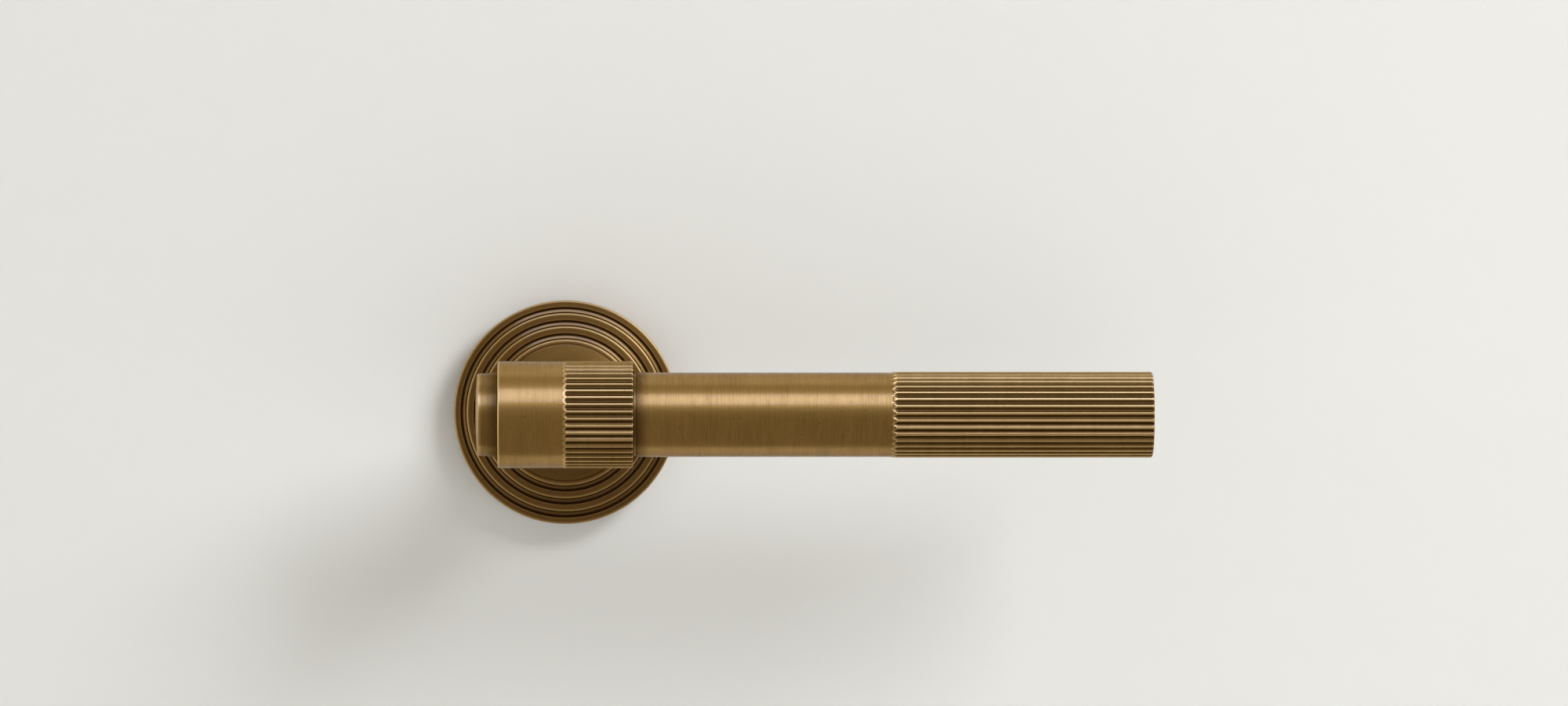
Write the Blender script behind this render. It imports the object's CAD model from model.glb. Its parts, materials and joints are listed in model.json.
"""A door lever handle on a stepped round rose: the looks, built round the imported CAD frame.

Metres. +X runs along the lever, +Y into the door and +Z up. The origin is on the spindle's
axis, in the plane of the door's face. Profiles are in millimetres: a radius, and a height out
of the door for what turns about the spindle, or a distance from the spindle's axis for what
turns about the lever.
"""

import json
import math
from dataclasses import dataclass

import bmesh
import bpy
import numpy as np
from mathutils import Matrix, Vector

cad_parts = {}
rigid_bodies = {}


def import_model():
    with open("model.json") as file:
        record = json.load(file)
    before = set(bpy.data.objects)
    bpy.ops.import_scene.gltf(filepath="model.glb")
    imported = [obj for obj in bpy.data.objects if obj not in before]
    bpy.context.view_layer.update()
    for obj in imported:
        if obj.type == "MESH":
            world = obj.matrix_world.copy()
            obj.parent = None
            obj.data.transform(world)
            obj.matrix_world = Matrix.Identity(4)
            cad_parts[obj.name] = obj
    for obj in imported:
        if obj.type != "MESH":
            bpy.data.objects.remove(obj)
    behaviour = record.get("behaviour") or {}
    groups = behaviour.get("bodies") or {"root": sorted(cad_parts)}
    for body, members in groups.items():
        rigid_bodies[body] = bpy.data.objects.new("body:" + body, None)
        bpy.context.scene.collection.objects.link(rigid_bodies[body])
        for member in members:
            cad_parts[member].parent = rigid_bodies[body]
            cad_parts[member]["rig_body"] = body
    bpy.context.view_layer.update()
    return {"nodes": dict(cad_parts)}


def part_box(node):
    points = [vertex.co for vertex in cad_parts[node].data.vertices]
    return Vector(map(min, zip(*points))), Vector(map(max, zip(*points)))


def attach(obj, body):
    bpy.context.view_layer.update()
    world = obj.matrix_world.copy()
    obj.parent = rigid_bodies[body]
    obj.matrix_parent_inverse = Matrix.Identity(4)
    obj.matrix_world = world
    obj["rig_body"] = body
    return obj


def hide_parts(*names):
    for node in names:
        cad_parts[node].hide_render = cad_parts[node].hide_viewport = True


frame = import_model()

MM = 0.001
TAU = 2 * math.pi


def corners(node):
    """Lowest and highest corner of a CAD node, in millimetres."""
    low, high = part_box(node)
    return np.array(low) / MM, np.array(high) / MM


def half_height(node):
    """A round node's radius: half its height."""
    low, high = corners(node)
    return (high[2] - low[2]) / 2


# ---- Sizes, in millimetres ----

# From the CAD frame. The plain bar is as wide as the spacer ring, and a little fuller here.
COLLAR_LOW, COLLAR_HIGH = corners("collar")
BAR_LOW, BAR_HIGH = corners("grip_bar")
CAP_LOW = corners("end_cap")[0]
SPACER_LOW, SPACER_HIGH = corners("spacer_ring")
REACH = -(COLLAR_LOW[1] + COLLAR_HIGH[1]) / 2
COLLAR_RADIUS = half_height("collar")
BAR_RADIUS = half_height("spacer_ring") + 0.12
FLUTED_RADIUS = half_height("grip_bar") + 0.18
ROSE_RADIUS = half_height("rose_cover")
ROSE_HEIGHT = -corners("rose_cover")[0][1]
NECK_RADIUS = half_height("neck")

# Rose: three rings step up from the rim to the disc.
RING_COUNT, RING_PITCH, RING_RISE = 3, 3.05, 1.4
RIM_HEIGHT = ROSE_HEIGHT - RING_COUNT * RING_RISE
RIM_WIDTH, RIM_WALL = 1.3, 1.2
COVER_WALL = 1.4
COVER_STEP_INSET = 2.1  # from a lip in to the step under it
COVER_HOLE = 8.9
DISC_LINE, DISC_LINE_HALF, DISC_LINE_DEPTH = 15.8, 0.12, 0.05

# A ring's section from its lip inwards: the distance in from the lip, the height over the
# tread outside it, and the corner's rounding.
RING_SECTION = [
    (0.16, 0.0, 0.12),  # lip
    (0.46, -0.60, 0.12),  # floor of the groove
    (0.78, -0.60, 0.10),
    (1.34, -0.34, 0.08),  # top of the slope
    (1.46, -0.42, 0.05),  # crease
    (1.58, -0.30, 0.05),
    (1.62, RING_RISE, 0.40),  # nose of the next tread
]

# Where a ring's finish changes: distances in from the lip, and how far below its tread.
GROOVE_FROM, GROOVE_TO = 0.26, 0.72
SLOPE_FROM, SLOPE_TO = 0.78, 1.37
GROOVE_REACH = 0.7

# Flutes. The bar steps up to its fluted radius over FLUTE_STEP_WIDTH; BAR_FLUTE_TURN is in degrees.
COLLAR_FLUTES, COLLAR_FLUTE_START = 45, -0.3
BAR_FLUTES, BAR_FLUTE_START, BAR_FLUTE_TURN = 36, 74.4, -2.5
FLUTE_DEPTH = 0.47
FLUTE_STEP_WIDTH = 0.3

# Collar, cap, spacer ring and bar.
COLLAR_BORE, COLLAR_CHAMFER = 7.15, 0.28
CAP_FRONT, CAP_SHOULDER, CAP_RADIUS, CAP_FOOT, CAP_LEDGE = 7.6, 9.05, 9.35, 9.7, 9.0
CAP_DOME, CAP_DOME_RADIUS = 0.4, 9.0
CAP_SHOULDER_HEIGHT, CAP_SIDE_START, CAP_FLARE = 0.42, 0.7, 0.34
SPIGOT, SPIGOT_LENGTH = 7.0, 3.4
SPACER_RADIUS, SPACER_BORE = 9.3, 7.2

# Neck, from its back end to the collar: a square socket, then a journal with two flats and a
# groove for the circlip, then the shoulder.
SOCKET_SIDE, SOCKET_TOP, SOCKET_FLARE = 8.2, 29.9, 0.25
NECK_BACK, NECK_CHAMFER = 2.0, 0.3
JOURNAL, FLAT_OFFSET, FLAT_TOP = 7.5, 6.4, 5.1
CIRCLIP_RADIUS, CIRCLIP_LOW, CIRCLIP_HIGH = 6.8, 2.6, 3.3
SHOULDER, NECK_PLAIN_START = 8.4, 12.0
SADDLE_GAP = 0.12
GRUB_HOLE = 2.55

# How far from a wall the metal has darkened.
BAR_PATINA, CAP_PATINA = 3.2, 4.6


# ---- Turned shapes ----

def rounded(corner_list, steps=5, support=0.16):
    """A profile of (radius, along, fillet) corners with its corners rounded.

    Gives rows of (radius, along, edge, hollow): edge is 1 on an outward corner and hollow is 1
    on an inward one, for a profile that goes anticlockwise round the metal.
    """
    points = [np.array(c[:2], float) for c in corner_list]
    rows = []
    for i, corner in enumerate(corner_list):
        here = points[i]
        fillet = corner[2] if len(corner) > 2 else 0
        if fillet <= 0 or i in (0, len(corner_list) - 1):
            rows.append((here[0], here[1], 0.0, 0.0))
            continue
        into = here - points[i - 1]
        out = points[i + 1] - here
        length_in, length_out = np.hypot(*into), np.hypot(*out)
        into, out = into / length_in, out / length_out
        turn = math.atan2(into[0] * out[1] - into[1] * out[0], into @ out)
        reach = min(fillet * math.tan(abs(turn) / 2), 0.48 * length_in, 0.48 * length_out)
        radius = reach / max(math.tan(abs(turn) / 2), 1e-6)
        side = math.copysign(1, turn)
        start = here - into * reach
        centre = start + side * radius * np.array([-into[1], into[0]])
        arm = start - centre
        edge, hollow = (1.0, 0.0) if turn > 0 else (0.0, 1.0)
        if reach + 2 * support < 0.5 * length_in:
            lead = here - into * (reach + support)
            rows.append((lead[0], lead[1], 0.0, 0.0))
        for k in range(steps + 1):
            a = turn * k / steps
            x = centre[0] + arm[0] * math.cos(a) - arm[1] * math.sin(a)
            y = centre[1] + arm[0] * math.sin(a) + arm[1] * math.cos(a)
            rows.append((x, y, edge, hollow))
        if reach + 2 * support < 0.5 * length_out:
            trail = here + out * (reach + support)
            rows.append((trail[0], trail[1], 0.0, 0.0))
    return np.array(rows)


def onto_spindle(radius, along, angle):
    """Points about the spindle's axis; along is the height out of the door."""
    return np.stack([radius * np.sin(angle), -along, radius * np.cos(angle)], -1) * MM


def onto_lever(radius, along, angle):
    """Points about the lever's axis; along is the distance from the spindle's axis."""
    return np.stack([along, -REACH - radius * np.cos(angle), radius * np.sin(angle)], -1) * MM


def mesh_object(name, verts, faces, slot, body, material):
    """A smooth mesh as a piece that rides on a body."""
    mesh = bpy.data.meshes.new(name)
    mesh.from_pydata(verts, [], faces)
    mesh.validate()
    bm = bmesh.new()
    bm.from_mesh(mesh)
    bmesh.ops.recalc_face_normals(bm, faces=bm.faces)
    bm.to_mesh(mesh)
    bm.free()
    mesh.polygons.foreach_set("use_smooth", [True] * len(mesh.polygons))
    obj = bpy.data.objects.new(name, mesh)
    bpy.context.scene.collection.objects.link(obj)
    mesh.materials.append(material)
    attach(obj, body)
    return obj


def store(obj, name, kind, values):
    """Stores a value for each vertex of a piece."""
    attribute = obj.data.attributes.new(name, kind, "POINT")
    key = "vector" if kind == "FLOAT_VECTOR" else "value"
    attribute.data.foreach_set(key, np.ascontiguousarray(values, np.float32).ravel())


def swept(name, radius, along, angle, edge, hollow, place, closed, **finish):
    """A surface from grids of radius and distance along, one row for each profile point.

    Rows whose radius is 0 become one point on the axis. closed joins the last row to the first.
    """
    rows, columns = radius.shape
    across = np.diff(radius[:, 0], prepend=radius[0, 0])
    onward = np.diff(along[:, 0], prepend=along[0, 0])
    path = np.cumsum(np.hypot(across, onward))
    verts, starts, turned, edges, hollows = [], [], [], [], []
    for i in range(rows):
        starts.append(len(verts))
        used = 1 if np.all(radius[i] < 1e-6) else columns
        for point in place(radius[i, :used], along[i, :used], angle[:used]):
            verts.append(tuple(point))
        for j in range(used):
            turned.append((math.cos(angle[j]), math.sin(angle[j]), path[i]))
            edges.append(edge[i, j])
            hollows.append(hollow[i, j])
    starts.append(len(verts))
    faces = []
    pairs = list(zip(range(rows - 1), range(1, rows)))
    if closed:
        pairs.append((rows - 1, 0))
    for a, b in pairs:
        size_a, size_b = starts[a + 1] - starts[a], starts[b + 1] - starts[b]
        for j in range(columns):
            k = (j + 1) % columns
            low = [starts[a] + j, starts[a] + k] if size_a > 1 else [starts[a]]
            high = [starts[b] + k, starts[b] + j] if size_b > 1 else [starts[b]]
            if len(low) + len(high) > 2:
                faces.append(low + high)
    obj = mesh_object(name, verts, faces, **finish)
    store(obj, "turned", "FLOAT_VECTOR", turned)
    store(obj, "edge", "FLOAT", edges)
    store(obj, "hollow", "FLOAT", hollows)
    store(obj, "fluted", "FLOAT", [0.0] * len(hollows))
    return obj


def turned_piece(name, profile, place, sides, closed=False, **finish):
    """A plain turned piece from rounded() rows."""
    angle = np.arange(sides) * TAU / sides
    spread = np.ones((1, sides))
    columns = [profile[:, i : i + 1] * spread for i in range(4)]
    return swept(name, columns[0], columns[1], angle, columns[2], columns[3], place, closed, **finish)


# ---- Fluted shapes ----

@dataclass
class Flutes:
    """A fluted length. Pointed flutes run out to a point, the others to a round end."""

    count: int
    turn: float  # degrees by which the flutes are turned about the axis
    radius: float
    start: float
    end: float
    run_out: float
    pointed: bool
    edge_size: float  # rounding of the far edge
    crest: float  # width of the worn band on each crest, as a share of half a flute


def flute_columns(flutes):
    """Angles of the columns for a fluted surface, and each one's place across its flute.

    The place is 0 on the flute's floor and 1 on the crest between two flutes.
    """
    half = [0.13, 0.26, 0.38, 0.52, 0.66, 0.76, 0.84, 0.92]
    places = np.array([-1.0] + [-a for a in reversed(half)] + [0.0] + half)
    pitch = TAU / flutes.count
    angle = (np.arange(flutes.count)[:, None] * pitch + places[None, :] * pitch / 2).ravel()
    return angle + math.radians(flutes.turn), np.tile(np.abs(places), flutes.count)


def smooth_step(value):
    value = np.clip(value, 0, 1)
    return value * value * (3 - 2 * value)


def flute_depth(place):
    """How deep a flute is across its width, from 1 on its floor to 0 on its crest."""
    steps = np.linspace(0, 1, 201)
    # A rounded floor, a straight flank and a rounded crest.
    slope = smooth_step(steps / 0.40) * (1 - smooth_step((steps - 0.62) / 0.34))
    rise = np.cumsum(slope) / np.sum(slope)
    return 1 - np.interp(place, steps, rise)


def soft_floor(value, softness):
    """The larger of a value and 0, with the corner rounded off."""
    return (value + np.sqrt(value * value + softness * softness)) / 2


def fluted_rows(flutes, place):
    """Radius, distances along and wear of a fluted length, with its run-outs and rounded end."""
    run_out, edge_size = flutes.run_out, flutes.edge_size
    ramp = np.concatenate([np.linspace(-0.1, 1.1, 19) * run_out, [run_out * 2]])
    body = np.linspace(flutes.start + 2 * run_out, flutes.end - 2 * edge_size, 8)[1:]
    close = flutes.end - edge_size + edge_size * np.sin(np.linspace(0, math.pi / 2, 7))
    along = np.concatenate([flutes.start + ramp, body, close])
    rows, wear = [], []
    for x in along:
        short = max(1 - (x - flutes.start) / run_out, 0)
        if flutes.pointed:
            out = place + short
            cut = soft_floor(FLUTE_DEPTH * (flute_depth(place) - short), 0.012)
        else:
            out = np.hypot(place, short)
            cut = FLUTE_DEPTH * flute_depth(out)
        into_edge = max(x - (flutes.end - edge_size), 0)
        drop = edge_size - math.sqrt(max(edge_size**2 - into_edge**2, 0))
        rows.append(flutes.radius - np.maximum(cut, drop + 0.3 * cut * (drop > 0)))
        worn = smooth_step(1.25 - np.abs(out - 1) / flutes.crest)
        wear.append(np.maximum(worn, 0.9 * (0.02 < drop < 0.8 * edge_size)))
    return np.array(rows), along, np.array(wear)


# ---- Materials ----

class Graph:
    """A short way to write a node material."""

    def __init__(self, name):
        self.material = bpy.data.materials.new(name)
        self.material.use_nodes = True
        self.tree = self.material.node_tree
        self.shader = self.tree.nodes["Principled BSDF"]
        self.output = self.tree.nodes["Material Output"]

    def node(self, kind, inputs=None, output=0, **settings):
        """Adds a node, sets or links its inputs and gives one of its outputs."""
        made = self.tree.nodes.new("ShaderNode" + kind)
        for key, value in settings.items():
            setattr(made, key, value)
        self.fill(made, inputs or {})
        return made.outputs[output]

    def fill(self, node, inputs):
        """Sets numbers on a node's inputs and links sockets to them."""
        for key, value in inputs.items():
            socket = node.inputs[key]
            if isinstance(value, bpy.types.NodeSocket):
                self.tree.links.new(value, socket)
            else:
                socket.default_value = value

    def math(self, operation, a, b):
        return self.node("Math", {0: a, 1: b}, operation=operation)

    def attribute(self, name, output="Fac"):
        return self.node("Attribute", output=output, attribute_name=name)

    def times(self, vector, by):
        return self.node("VectorMath", {0: vector, 1: by}, operation="MULTIPLY")

    def noise(self, vector, scale=1.0, detail=3.0, roughness=0.55, distortion=0.0):
        settings = {"Vector": vector, "Scale": scale, "Detail": detail}
        settings |= {"Roughness": roughness, "Distortion": distortion}
        return self.node("TexNoise", settings)

    def spread(self, value, low, high, to_low=0.0, to_high=1.0):
        """Maps a range of one value onto another range, clamped."""
        numbers = {1: low, 2: high, 3: to_low, 4: to_high}
        return self.node("MapRange", {0: value, **numbers})

    def mix(self, share, a, b):
        return self.node("Mix", {0: share, 6: a, 7: b}, output=2, data_type="RGBA")

    def bump(self, height, strength, distance_mm, normal=None):
        inputs = {"Height": height, "Strength": strength, "Distance": distance_mm * MM}
        if normal is not None:
            inputs["Normal"] = normal
        return self.node("Bump", inputs)

    def finish(self, **inputs):
        self.fill(self.shader, {key.replace("_", " "): value for key, value in inputs.items()})
        return self.material


def colour(red, green, blue):
    """A linear colour."""
    return (red, green, blue, 1.0)


def scaled(tone, gain):
    """A colour times a gain, which is one number or one for each channel."""
    return colour(*np.multiply(tone, gain))


# The worn, the aged and the deep brown metal.
LEVER_TONES = (0.335, 0.194, 0.050), (0.262, 0.146, 0.032), (0.062, 0.030, 0.007)
ROSE_TONES = (0.235, 0.126, 0.025), (0.168, 0.084, 0.014), (0.045, 0.021, 0.004)
BRUSHED_GAIN = 1.45
RELIEVED_GAIN = 2.2, 2.6, 4.2
GRAZING_TINT = 0.56, 0.46, 0.34


def antique_brass(name, axis, tones, roughness, anisotropy, coat):
    """Aged, lacquered brass, brushed round each turned part and rubbed bright on its edges."""
    worn, aged, deep = tones
    g = Graph(name)
    turned = g.attribute("turned", "Vector")
    edge = g.attribute("edge")
    hollow = g.attribute("hollow")
    plain = g.math("SUBTRACT", 1.0, g.attribute("fluted"))
    fine = g.noise(g.times(turned, (1.6, 1.6, 5.0)), detail=4.0, roughness=0.65)
    bands = g.noise(g.times(turned, (0.8, 0.8, 0.55)), detail=4.0, roughness=0.6)
    place = g.node("TexCoord", output="Object")
    blotches = g.noise(place, scale=95.0, detail=5.0, roughness=0.6, distortion=0.4)
    pits = g.spread(g.noise(place, scale=1500.0, detail=2.0), 0.66, 0.74)
    mottled = g.math("ADD", g.math("MULTIPLY", blotches, 0.35), g.math("MULTIPLY", bands, 0.65))
    patina = g.spread(mottled, 0.41, 0.59)
    streak = g.spread(fine, 0.32, 0.68)
    brushed = g.math("MULTIPLY", g.math("MULTIPLY", streak, plain), 0.60)
    metal = g.mix(patina, colour(*worn), colour(*aged))
    metal = g.mix(brushed, metal, scaled(worn, BRUSHED_GAIN))
    metal = g.mix(g.math("MULTIPLY", edge, 0.80), metal, scaled(worn, RELIEVED_GAIN))
    metal = g.mix(g.math("MULTIPLY", hollow, 0.90), metal, colour(*deep))
    metal = g.mix(g.math("MULTIPLY", pits, 0.4), metal, colour(*deep))
    rough = g.math("ADD", g.math("MULTIPLY", streak, -0.10), roughness + 0.05)
    rough = g.math("ADD", rough, g.math("MULTIPLY", patina, 0.04))
    rough = g.math("ADD", rough, g.math("MULTIPLY", hollow, 0.10))
    normal = g.bump(fine, g.math("MULTIPLY", plain, 0.70), 0.02)
    normal = g.bump(g.noise(place, scale=260.0, detail=3.0), 0.02, 0.03, normal)
    tangent = g.node("Tangent", direction_type="RADIAL", axis=axis)
    lacquer = g.math("MULTIPLY", g.math("SUBTRACT", 1.1, hollow), coat)
    return g.finish(
        Base_Color=metal, Metallic=1.0, Roughness=rough, Normal=normal, Anisotropic=anisotropy,
        Anisotropic_Rotation=0.25, Tangent=tangent, Specular_Tint=colour(*GRAZING_TINT),
        Coat_Weight=lacquer, Coat_Roughness=0.12, Coat_IOR=1.5,
    )


def worked_steel(name, light, dark, roughness, grain=(160.0, 160.0, 160.0)):
    """Drawn, blanked or plated steel, with a fine grain and faint stains."""
    g = Graph(name)
    place = g.node("TexCoord", output="Object")
    lines = g.noise(g.times(place, grain), scale=4.0, detail=4.0, roughness=0.65)
    stains = g.spread(g.noise(place, scale=380.0, detail=5.0, roughness=0.6), 0.36, 0.70)
    tone = g.mix(g.math("MULTIPLY", stains, 0.7), colour(*light), colour(*dark))
    tone = g.mix(g.math("MULTIPLY", g.spread(lines, 0.35, 0.75), 0.35), tone, scaled(light, 1.25))
    tone = g.mix(g.math("MULTIPLY", g.attribute("hollow"), 0.6), tone, scaled(dark, 0.35))
    rough = g.math("ADD", g.math("MULTIPLY", stains, 0.14), g.math("MULTIPLY", lines, 0.10))
    rough = g.math("ADD", rough, roughness - 0.10)
    return g.finish(Base_Color=tone, Metallic=1.0, Roughness=rough, Normal=g.bump(lines, 0.25, 0.03))


def cast_zinc(name):
    """Matt die-cast zinc: fine orange-peel skin, flow marks and dull oxide."""
    g = Graph(name)
    place = g.node("TexCoord", output="Object")
    skin = g.noise(place, scale=1400.0, detail=3.0)
    along_flow = g.times(place, (1.0, 1.0, 2.4))
    flow = g.noise(along_flow, scale=120.0, detail=5.0, roughness=0.62, distortion=1.2)
    tone = g.mix(g.spread(flow, 0.36, 0.68), colour(0.42, 0.43, 0.44), colour(0.27, 0.275, 0.285))
    tone = g.mix(g.math("MULTIPLY", g.spread(skin, 0.55, 0.75), 0.4), tone, colour(0.56, 0.57, 0.58))
    rough = g.spread(flow, 0.3, 0.7, 0.42, 0.60)
    normal = g.bump(flow, 0.15, 0.15, g.bump(skin, 0.30, 0.05))
    return g.finish(Base_Color=tone, Metallic=0.85, Roughness=rough, Normal=normal)


def moulded_nylon(name):
    """Natural nylon with a satin skin."""
    g = Graph(name)
    place = g.node("TexCoord", output="Object")
    skin = g.noise(place, scale=900.0, detail=3.0)
    cloud = g.noise(place, scale=140.0, detail=4.0)
    tone = g.mix(g.spread(cloud, 0.35, 0.7), colour(0.80, 0.77, 0.68), colour(0.70, 0.66, 0.55))
    rough = g.spread(cloud, 0.3, 0.7, 0.42, 0.56)
    return g.finish(Base_Color=tone, Roughness=rough, Normal=g.bump(skin, 0.25, 0.04))


def finishes():
    """Every material, by name."""
    return {
        "brass_rose": antique_brass(
            "antique_brass_rose", "Y", ROSE_TONES, roughness=0.34, anisotropy=0.65, coat=0.6,
        ),
        "brass_lever": antique_brass(
            "antique_brass_lever", "X", LEVER_TONES, roughness=0.345, anisotropy=0.6, coat=0.5,
        ),
        "steel": worked_steel(
            "drawn_steel", light=(0.50, 0.50, 0.51), dark=(0.34, 0.33, 0.32), roughness=0.34,
            grain=(160.0, 20.0, 160.0),
        ),
        "plated": worked_steel(
            "zinc_plate", light=(0.66, 0.67, 0.68), dark=(0.50, 0.50, 0.49), roughness=0.28,
        ),
        "spring": worked_steel(
            "spring_steel", light=(0.11, 0.11, 0.12), dark=(0.06, 0.055, 0.05), roughness=0.38,
        ),
        "zinc": cast_zinc("die_cast_zinc"),
        "nylon": moulded_nylon("natural_nylon"),
    }


# ---- Rose ----

def lip_radius(ring):
    return ROSE_RADIUS - RIM_WIDTH - ring * RING_PITCH


def cover_outline():
    """The cover's section: up the rim, in over the rings to the hole, and back underneath."""
    foot = ROSE_RADIUS - RIM_WALL / 2
    outline = [(foot, 0), (ROSE_RADIUS, 0, 0.1), (ROSE_RADIUS, RIM_HEIGHT, 0.35)]
    for ring in range(RING_COUNT):
        lip, tread = lip_radius(ring), RIM_HEIGHT + ring * RING_RISE
        outline += [(lip - inset, tread + rise, fillet) for inset, rise, fillet in RING_SECTION]
    outline += [
        (DISC_LINE + DISC_LINE_HALF, ROSE_HEIGHT),
        (DISC_LINE, ROSE_HEIGHT - DISC_LINE_DEPTH, 0.05),
        (DISC_LINE - DISC_LINE_HALF, ROSE_HEIGHT),
        (COVER_HOLE, ROSE_HEIGHT, 0.3),
        (COVER_HOLE, ROSE_HEIGHT - COVER_WALL, 0.1),
    ]
    for ring in reversed(range(RING_COUNT)):
        inner = lip_radius(ring) - COVER_STEP_INSET
        ceiling = RIM_HEIGHT + (ring + 1) * RING_RISE - COVER_WALL
        outline += [(inner, ceiling, 0.2), (inner, ceiling - RING_RISE, 0.2)]
    wall = ROSE_RADIUS - RIM_WALL
    return outline + [(wall, RIM_HEIGHT - COVER_WALL, 0.3), (wall, 0, 0.1), (foot, 0)]


def rose_cover(material):
    """The stepped cover, aged dark in its grooves."""
    profile = rounded(cover_outline())[:-1]
    for ring in range(RING_COUNT):
        inset = lip_radius(ring) - profile[:, 0]
        outside = profile[:, 1] > RIM_HEIGHT + ring * RING_RISE - GROOVE_REACH
        groove = outside & (inset > GROOVE_FROM) & (inset < GROOVE_TO)
        slope = outside & (inset > SLOPE_FROM) & (inset < SLOPE_TO)
        profile[groove, 3] = 0.9
        profile[slope, 2], profile[slope, 3] = 0.1, 0.15
    profile[np.abs(profile[:, 0] - DISC_LINE) < 0.3, 3] = 0.2
    piece = turned_piece(
        "rose_cover_turned", profile, onto_spindle, 288, True,
        slot="antique_brass", body="rose", material=material,
    )
    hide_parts("rose_cover")


# ---- Neck ----

def saddle(radius, angle):
    """Height of the neck's end, which is hollowed to fit under the collar."""
    return REACH - np.sqrt((COLLAR_RADIUS + SADDLE_GAP) ** 2 - (radius * np.cos(angle)) ** 2)


def neck(material):
    """The neck: its square socket from the inside out, its journal, its stem and its saddle."""
    sides = 192
    angle = np.arange(sides) * TAU / sides
    square = SOCKET_SIDE / 2 / np.maximum(np.abs(np.cos(angle)), np.abs(np.sin(angle)))
    flat = FLAT_OFFSET / np.maximum(np.abs(np.cos(angle)), 1e-6)
    even = np.ones(sides)
    radius = [0 * even, square, square, square + SOCKET_FLARE]
    along = [SOCKET_TOP * even, SOCKET_TOP * even, (NECK_BACK + NECK_CHAMFER) * even, NECK_BACK * even]
    outline = [
        (JOURNAL - NECK_CHAMFER, NECK_BACK),
        (JOURNAL, NECK_BACK + NECK_CHAMFER),
        (JOURNAL, CIRCLIP_LOW),
        (CIRCLIP_RADIUS, CIRCLIP_LOW),
        (CIRCLIP_RADIUS, CIRCLIP_HIGH),
        (JOURNAL, CIRCLIP_HIGH),
        (JOURNAL, FLAT_TOP),
        (JOURNAL, SHOULDER),
        (NECK_RADIUS - 0.2, SHOULDER),
        (NECK_RADIUS, SHOULDER + 0.2),
        (NECK_RADIUS, NECK_PLAIN_START),
    ]
    for r, height in outline:
        radius.append(np.minimum(r * even, flat) if height <= FLAT_TOP else r * even)
        along.append(height * even)
    crown = saddle(NECK_RADIUS, angle)
    for share in (*np.linspace(0.1, 0.9, 9), 0.96, 0.99):
        radius.append(NECK_RADIUS * even)
        along.append(NECK_PLAIN_START + share * (crown - NECK_PLAIN_START))
    for r in (NECK_RADIUS - 0.15, 6.0, 3.0, 0.0):
        radius.append(r * even)
        along.append(saddle(r, angle))
    radius, along = np.array(radius), np.array(along)
    hollow = np.zeros_like(radius)
    hollow[-6:-3] = 0.6  # the joint with the collar has aged
    piece = swept(
        "neck_turned", radius, along, angle, np.zeros_like(radius), hollow, onto_spindle, False,
        slot="antique_brass", body="lever", material=material,
    )
    drill_grub_hole(piece)
    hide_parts("neck")


def drill_grub_hole(piece):
    """Opens the hole that the spindle's grub screw sits in."""
    low, high = corners("spindle_grub_screw")
    x, y, _ = (low + high) / 2
    sides = 48
    bm = bmesh.new()
    rings = []
    turns = [k * TAU / sides for k in range(sides)]
    for z in (-NECK_RADIUS - 1, -SOCKET_SIDE / 2 + 0.5):
        points = [(x + GRUB_HOLE * math.cos(a), y + GRUB_HOLE * math.sin(a), z) for a in turns]
        rings.append([bm.verts.new([c * MM for c in point]) for point in points])
    for k in range(sides):
        bm.faces.new([rings[0][k], rings[0][k - 1], rings[1][k - 1], rings[1][k]])
    for ring in rings:
        bm.faces.new(ring)
    bmesh.ops.recalc_face_normals(bm, faces=bm.faces)
    drill = bpy.data.objects.new("drill", bpy.data.meshes.new("drill"))
    bm.to_mesh(drill.data)
    bm.free()
    bpy.context.scene.collection.objects.link(drill)
    cut = piece.modifiers.new("grub_hole", "BOOLEAN")
    cut.object, cut.operation, cut.solver = drill, "DIFFERENCE", "EXACT"
    bpy.context.view_layer.update()
    view = bpy.context.evaluated_depsgraph_get()
    drilled = bpy.data.meshes.new_from_object(piece.evaluated_get(view))
    piece.modifiers.remove(cut)
    drilled.set_sharp_from_angle(angle=math.radians(40))
    piece.data = drilled
    bpy.data.objects.remove(drill)


# ---- Lever ----

def on_lever_axis(piece):
    """Puts a piece's origin on the lever's axis, which the brushing runs round."""
    shift = Vector((0, REACH * MM, 0))
    piece.data.transform(Matrix.Translation(shift))
    body = piece["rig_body"]
    piece.parent = None
    piece.location = -shift
    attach(piece, body)


def darken_towards(profile, wall, reach, least=0.0):
    """Ages a profile's metal towards a wall that it stands against."""
    near = np.clip(1 - np.abs(profile[:, 1] - wall) / reach, 0, 1)
    profile[:, 3] = np.maximum(profile[:, 3], least + 0.9 * near**1.2)


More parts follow.
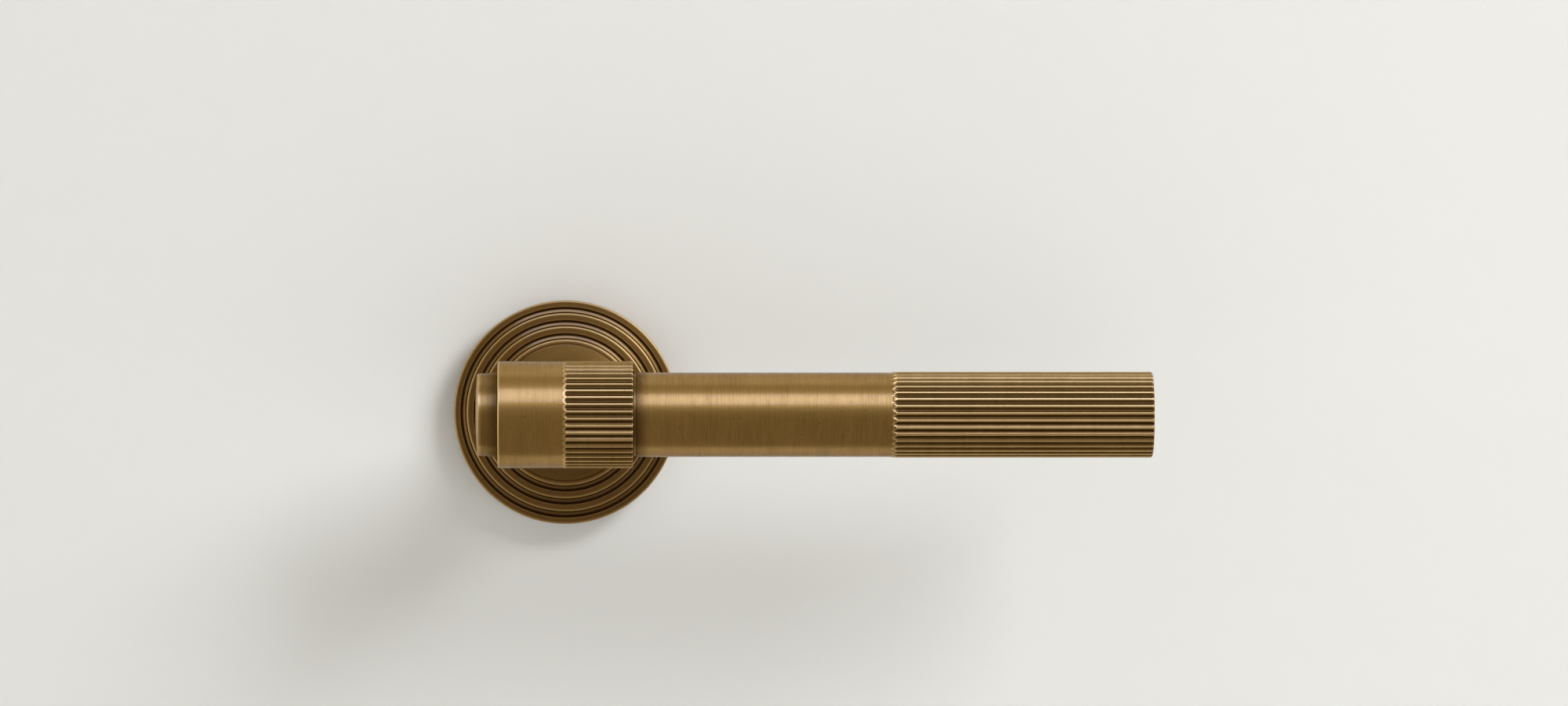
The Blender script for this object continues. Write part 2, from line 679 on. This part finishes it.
def fluted_piece(node, plain, flutes, inner, material):
    """A turned piece whose far length is fluted.

    plain is the plain length's profile, from the inside out, and inner is the outline that
    closes the far end.
    """
    angle, place = flute_columns(flutes)
    rows, along, wear = fluted_rows(flutes, place)
    rise = np.clip((along - flutes.start) / FLUTE_STEP_WIDTH, 0, 1)[:, None]
    rows = rows - (1 - rise) * (flutes.radius - plain[-1, 0])
    closing = rounded(inner)
    ones = np.ones((1, len(angle)))
    # The floors have aged more than the flanks.
    sunk = np.clip((flutes.radius - rows) / FLUTE_DEPTH, 0, 1)
    aged = smooth_step(sunk * 2.3 - 0.5) * (0.30 + 0.65 * sunk)
    grids = []
    for column, fluted in enumerate((rows, along[:, None] * ones, wear, aged)):
        ends = [p[:, column : column + 1] * ones for p in (plain, closing)]
        grids.append(np.vstack([ends[0], fluted, ends[1]]))
    radius, across, edge, hollow = grids
    piece = swept(
        node + "_turned", radius, across, angle, edge, hollow, onto_lever, inner[-1][0] > 0,
        slot="antique_brass", body="lever", material=material,
    )
    x = np.array([v.co.x for v in piece.data.vertices]) / MM
    marks = piece.data.attributes["fluted"].data
    marks.foreach_set("value", (x > flutes.start - 0.05).astype(np.float32))
    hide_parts(node)
    on_lever_axis(piece)


def collar(material):
    """The collar, plain towards the cap and fluted towards the bar."""
    low, high = COLLAR_LOW[0], COLLAR_HIGH[0]
    plain = rounded([
        (COLLAR_BORE, low + 0.3),
        (COLLAR_BORE, low, 0.1),
        (COLLAR_RADIUS - COLLAR_CHAMFER, low, 0.1),
        (COLLAR_RADIUS, low + COLLAR_CHAMFER, 0.1),
        (COLLAR_RADIUS, COLLAR_FLUTE_START - 0.4),
    ])
    flutes = Flutes(
        count=COLLAR_FLUTES, turn=0.0, radius=COLLAR_RADIUS, start=COLLAR_FLUTE_START, end=high,
        run_out=0.8, pointed=False, edge_size=0.35, crest=0.25,
    )
    inner = [(COLLAR_RADIUS - 0.9, high), (COLLAR_BORE, high, 0.1), (COLLAR_BORE, high - 1)]
    fluted_piece("collar", plain, flutes, inner, material)


def grip_bar(material):
    """The bar: its spigot in the collar, its plain length and its fluted grip."""
    low, high = BAR_LOW[0], BAR_HIGH[0]
    start = SPACER_HIGH[0] + 0.02
    plain = rounded([
        (0, low),
        (SPIGOT, low, 0.3),
        (SPIGOT, start, 0.05),
        (BAR_RADIUS, start, 0.1),
        *[(BAR_RADIUS, start + run) for run in (0.9, 1.4, 2.0, 2.7, 3.5, 12.0)],
        (BAR_RADIUS, BAR_FLUTE_START - 0.4),
    ])
    darken_towards(plain, start, BAR_PATINA)
    flutes = Flutes(
        count=BAR_FLUTES, turn=BAR_FLUTE_TURN, radius=FLUTED_RADIUS, start=BAR_FLUTE_START, end=high,
        run_out=1.1, pointed=True, edge_size=0.5, crest=0.34,
    )
    inner = [(FLUTED_RADIUS - 1.0, high), (6.0, high), (0.4, high), (0, high)]
    fluted_piece("grip_bar", plain, flutes, inner, material)


def end_cap(material):
    """The cap: a shallow dome, a rounded shoulder and a side that flares to its foot."""
    low, foot = CAP_LOW[0], COLLAR_LOW[0] - 0.1
    side_start, steps = low + CAP_SIDE_START, 6
    side = foot - side_start
    dome = [(r, low + CAP_DOME * (r / CAP_DOME_RADIUS) ** 2) for r in (2.0, 4.0, 6.0, CAP_FRONT)]
    flare = [
        (CAP_RADIUS + 0.01 + CAP_FLARE * (k / steps) ** 1.6, side_start + side * k / steps)
        for k in range(1, steps)
    ]
    profile = rounded([
        (0, low),
        *dome,
        (CAP_SHOULDER, low + CAP_SHOULDER_HEIGHT, 0.12),
        (CAP_RADIUS, side_start, 0.12),
        *flare,
        (CAP_FOOT, foot, 0.08),
        (CAP_LEDGE, foot, 0.05),
        (SPIGOT, foot + 0.1),
        (SPIGOT, foot + SPIGOT_LENGTH),
        (0, foot + SPIGOT_LENGTH),
    ])
    darken_towards(profile, foot, CAP_PATINA, 0.10)
    piece = turned_piece(
        "end_cap_turned", profile, onto_lever, 224,
        slot="antique_brass", body="lever", material=material,
    )
    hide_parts("end_cap")
    on_lever_axis(piece)


def spacer_ring(material):
    """A dark ring in the joint between the collar and the bar."""
    low, high = SPACER_LOW[0], SPACER_HIGH[0]
    middle = 8.0
    profile = rounded([
        (middle, low), (SPACER_RADIUS, low, 0.05), (SPACER_RADIUS, high, 0.05),
        (SPACER_BORE, high), (SPACER_BORE, low), (middle, low),
    ])[:-1]
    profile[:, 2:] = 0, 0.5
    piece = turned_piece(
        "spacer_ring_turned", profile, onto_lever, 192, True,
        slot="antique_brass", body="lever", material=material,
    )
    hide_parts("spacer_ring")
    on_lever_axis(piece)


# ---- Spindle and fixings ----

def spindle(material):
    """A drawn square bar with rolled corners and a chamfered, sheared end."""
    side = half_height("spindle")
    low, high = corners("spindle")
    back, front = -high[1], -low[1]
    sides, blunt = 96, 12.0
    angle = np.arange(sides) * TAU / sides
    square = side / (np.abs(np.cos(angle)) ** blunt + np.abs(np.sin(angle)) ** blunt) ** (1 / blunt)
    stations = [
        (0, back), (0.5, back), (0.86, back), (0.90, back + 0.15), (1.0, back + 1.3),
        (1.0, back + 1.6), (1.0, -1.0), (1.0, front - 0.5), (0.9, front), (0, front),
    ]
    radius = np.array([share * square for share, _ in stations])
    along = np.array([t * np.ones(sides) for _, t in stations])
    edge = np.zeros_like(radius)
    edge[3:5] = 1.0  # the chamfer at the inner end
    piece = swept(
        "spindle_bar", radius, along, angle, edge, 0 * edge, onto_spindle, False,
        slot="steel", body="lever", material=material,
    )
    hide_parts("spindle")


@dataclass
class Thread:
    """The thread of a fixing and the plain shank above it."""

    root: float
    shank: float
    pitch: float
    end: float  # height out of the door at which the thread stops
    taper: float = 0.0  # length of a pointed tip


MACHINE_THREAD = Thread(root=1.55, shank=2.0, pitch=0.7, end=-1.5)
WOOD_THREAD = Thread(root=1.15, shank=1.75, pitch=1.5, end=-1.0, taper=5.0)
HEAD_THICKNESS = 1.8


def threaded(thread, start, angle):
    """Grids of radius, distance along and depth in the valley for a threaded length."""
    crest = thread.shank - 0.02
    along = np.arange(start, thread.end, thread.pitch / 8)
    turn = along[:, None] / thread.pitch - angle[None, :] / TAU
    flank = np.abs(2 * (turn % 1) - 1)
    height = np.clip((flank - 0.12) / 0.76, 0, 1)
    fade_out = np.clip((thread.end - along) / thread.pitch, 0, 1)
    fade_in = np.clip((along - start) / (1.5 * thread.pitch) + 0.2, 0, 1)
    radius = thread.root + (crest - thread.root) * height * (fade_out * fade_in)[:, None]
    if thread.taper:
        radius = radius * np.clip((along - start) / thread.taper, 0.12, 1)[:, None] ** 0.8
    return radius, along[:, None] * np.ones((1, len(angle))), 1 - height


def fixing(node, thread, material):
    """A threaded fixing: a thread from its tip, a plain shank and a low head."""
    low, high = corners(node)
    centre = (low + high) / 2
    tip, top = -high[1], -low[1]
    head, under_head = half_height(node), top - HEAD_THICKNESS
    sides = 40
    angle = np.arange(sides) * TAU / sides
    ones = np.ones((1, sides))
    radius, along, valley = threaded(thread, tip + 0.15, angle)
    shank = thread.shank - 0.05
    rest = rounded([
        (thread.root, thread.end),
        (shank, thread.end + 0.4, 0.1),
        (shank, under_head, 0.1),
        (head, under_head, 0.15),
        (head, top - 0.55, 0.3),
        (head - 0.8, top, 0.3),
        (0, top),
    ])
    blunt = 0.08 if thread.taper else thread.root - 0.4
    total = np.vstack([0 * ones, blunt * ones, radius, rest[:, 0:1] * ones])
    heights = np.vstack([tip * ones, tip * ones, along, rest[:, 1:2] * ones])
    hollow = np.vstack([0 * ones, 0 * ones, 0.8 * valley, rest[:, 3:4] * ones])

    def place(r, t, a):
        return onto_spindle(r, t, a) + np.array([centre[0], 0, centre[2]]) * MM

    piece = swept(
        node + "_threaded", total, heights, angle, 0 * total, hollow, place, False,
        slot="plated_steel", body="rose", material=material,
    )
    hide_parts(node)


# ---- CAD pieces that show as they are ----

KEPT = {
    "zinc": ["mounting_base"],
    "nylon": ["neck_bush", "neck_washer"],
    "plated": ["spring_plate"],
    "steel": [
        "drive_plate", "rear_washer", "stop_pin_rest", "stop_pin_open", "spindle_grub_screw",
        "neck_stud", "locating_pin", "draw_stud",
    ],
    "spring": ["return_spring", "circlip"],
}


def finish_kept(made):
    """Gives the kept CAD pieces a finish and softened edges."""
    for finish, names in KEPT.items():
        for name in names:
            obj = frame["nodes"][name]
            obj.data.materials.clear()
            obj.data.materials.append(made[finish])
            bevel = obj.modifiers.new("soft_edges", "BEVEL")
            bevel.width = 0.12 * MM
            bevel.segments = 2
            bevel.limit_method = "ANGLE"
            bevel.angle_limit = math.radians(40)
            bevel.harden_normals = True


def build():
    """Every finished piece, in place of its CAD node or on it."""
    made = finishes()
    rose_cover(made["brass_rose"])
    neck(made["brass_rose"])
    collar(made["brass_lever"])
    end_cap(made["brass_lever"])
    spacer_ring(made["brass_lever"])
    grip_bar(made["brass_lever"])
    spindle(made["steel"])
    for node in ("through_bolt_upper", "through_bolt_lower"):
        fixing(node, MACHINE_THREAD, made["plated"])
    for node in ("wood_screw_left", "wood_screw_right"):
        fixing(node, WOOD_THREAD, made["plated"])
    finish_kept(made)


# ---- The camera, the door and the light, in metres ----

EYE = 0.0047, -2.09, 0.027
LENS, SENSOR = 205.5, 36  # millimetres
FRAME_SHIFT = 0.1264, -0.0362

LIT_POINT = 0.03, 0, 0
DOOR_BORE = (ROSE_RADIUS - 1.5) * MM
DOOR_GAP, DOOR_REACH, DOOR_SIDES = 0.0003, 4.0, 96
DOOR_PAINT = 0.715, 0.722, 0.722
FLOOR_LEVEL, FLOOR_REACH = -0.4, 40.0
FLOOR_PAINT = 0.88, 0.88, 0.87

# Light from the room by axis and sign: the brass mirrors it.
ROOM = {
    (1, -1): (0.30, 0.264, 0.205),
    (1, 1): (0.80, 0.80, 0.79),
    (2, 1): (0.48, 0.445, 0.370),
    (2, -1): (0.33, 0.295, 0.245),
    (0, 1): (0.56, 0.54, 0.50),
    (0, -1): (1.20, 1.16, 1.08),
}


def camera():
    """A long lens square to the door, above the spindle, its frame slid down and towards the tip."""
    data = bpy.data.cameras.new("camera")
    data.lens, data.sensor_width = LENS, SENSOR
    data.shift_x, data.shift_y = FRAME_SHIFT
    data.clip_start, data.clip_end = 0.05, 100
    eye = bpy.data.objects.new("camera", data)
    eye.location = EYE
    eye.rotation_euler = (math.pi / 2, 0, 0)
    bpy.context.scene.collection.objects.link(eye)
    bpy.context.scene.camera = eye


def painted(name, base, one_sided):
    """Plain pale paint. A one-sided sheet can't be seen from behind."""
    g = Graph(name)
    place = g.node("TexCoord", output="Object")
    cloud = g.noise(place, scale=1.2, detail=2.0)
    tone = g.mix(g.spread(cloud, 0.3, 0.7), colour(*base), scaled(base, 0.985))
    g.finish(Base_Color=tone, Roughness=0.6, Specular_IOR_Level=0.2)
    if one_sided:
        behind = g.node("NewGeometry", output="Backfacing")
        clear = g.node("BsdfTransparent")
        both = g.node("MixShader", {0: behind, 1: g.shader.outputs[0], 2: clear})
        g.tree.links.new(both, g.output.inputs["Surface"])
    return g.material


def sheet(name, points, faces, material):
    """A flat stage surface."""
    mesh = bpy.data.meshes.new(name)
    mesh.from_pydata(points, [], faces)
    mesh.materials.append(material)
    obj = bpy.data.objects.new(name, mesh)
    bpy.context.scene.collection.objects.link(obj)
    return obj


def door():
    """The door's face, bored under the rose so that light reaches the handle's back."""
    turns = [k * TAU / DOOR_SIDES for k in range(DOOR_SIDES)]
    radii = DOOR_BORE, DOOR_REACH
    points = [(r * math.cos(a), DOOR_GAP, r * math.sin(a)) for r in radii for a in turns]
    faces = []
    for k in range(DOOR_SIDES):
        following = (k + 1) % DOOR_SIDES
        faces.append((k, DOOR_SIDES + k, DOOR_SIDES + following, following))
    sheet("door", points, faces, painted("door_paint", DOOR_PAINT, True))


def floor():
    """A wide floor below the handle, which the brass doesn't mirror."""
    corner_signs = ((-1, -1), (1, -1), (1, 1), (-1, 1))
    points = [(x * FLOOR_REACH, y * FLOOR_REACH, FLOOR_LEVEL) for x, y in corner_signs]
    ground = sheet("floor", points, [(0, 1, 2, 3)], painted("floor_paint", FLOOR_PAINT, False))
    ground.visible_glossy = False


def softbox(name, azimuth, elevation, distance, width, height, radiance, tint, seen_by):
    """An area light that faces the handle. Azimuth 0 is straight out of the door, 90 along the lever."""
    a, e = math.radians(azimuth), math.radians(elevation)
    out = Vector((math.sin(a) * math.cos(e), -math.cos(a) * math.cos(e), math.sin(e)))
    data = bpy.data.lights.new(name, "AREA")
    data.shape = "RECTANGLE"
    data.size, data.size_y = width, height
    data.energy = radiance * math.pi * width * height
    data.color = tint
    lamp = bpy.data.objects.new(name, data)
    lamp.location = Vector(LIT_POINT) + out * distance
    lamp.rotation_euler = out.to_track_quat("Z", "Y").to_euler()
    lamp.visible_camera = False
    lamp.visible_diffuse = seen_by == "wall"
    lamp.visible_glossy = seen_by == "metal"
    bpy.context.scene.collection.objects.link(lamp)


def lights():
    """A key from the upper right, with one lamp for the wall and one for the metal, and a window."""
    key = {"azimuth": 50, "elevation": 33, "distance": 3.5, "width": 1.65, "height": 1.65}
    softbox("key", **key, radiance=11.7, tint=(1.0, 1.0, 0.99), seen_by="wall")
    softbox("key_shine", **key, radiance=10.5, tint=(0.92, 1.05, 1.60), seen_by="metal")
    softbox(
        "window", azimuth=5, elevation=42, distance=1.7, width=1.6, height=0.9,
        radiance=1.6, tint=(0.90, 1.08, 1.90), seen_by="metal",
    )


def world():
    """A room that is pale behind the door and dim in front of it."""
    made = bpy.data.worlds.new("room")
    made.use_nodes = True
    tree = made.node_tree

    def node(kind, operation=None):
        new = tree.nodes.new("ShaderNode" + kind)
        if operation:
            new.operation = operation
        return new

    place, split = node("TexCoord"), node("SeparateXYZ")
    tree.links.new(place.outputs["Generated"], split.inputs[0])
    total = None
    for (axis, sign), tint in ROOM.items():
        towards, facing = node("Math", "MULTIPLY"), node("Math", "MAXIMUM")
        weight, tinted = node("Math", "POWER"), node("VectorMath", "SCALE")
        towards.inputs[1].default_value = sign
        facing.inputs[1].default_value = 0
        weight.inputs[1].default_value = 2
        tinted.inputs[0].default_value = tint
        tree.links.new(split.outputs[axis], towards.inputs[0])
        tree.links.new(towards.outputs[0], facing.inputs[0])
        tree.links.new(facing.outputs[0], weight.inputs[0])
        tree.links.new(weight.outputs[0], tinted.inputs["Scale"])
        if total is None:
            total = tinted.outputs[0]
            continue
        added = node("VectorMath", "ADD")
        tree.links.new(total, added.inputs[0])
        tree.links.new(tinted.outputs[0], added.inputs[1])
        total = added.outputs[0]
    tree.links.new(total, tree.nodes["Background"].inputs[0])
    bpy.context.scene.world = made


build()
camera()
door()
floor()
lights()
world()
bpy.context.scene.view_settings.view_transform = "Standard"
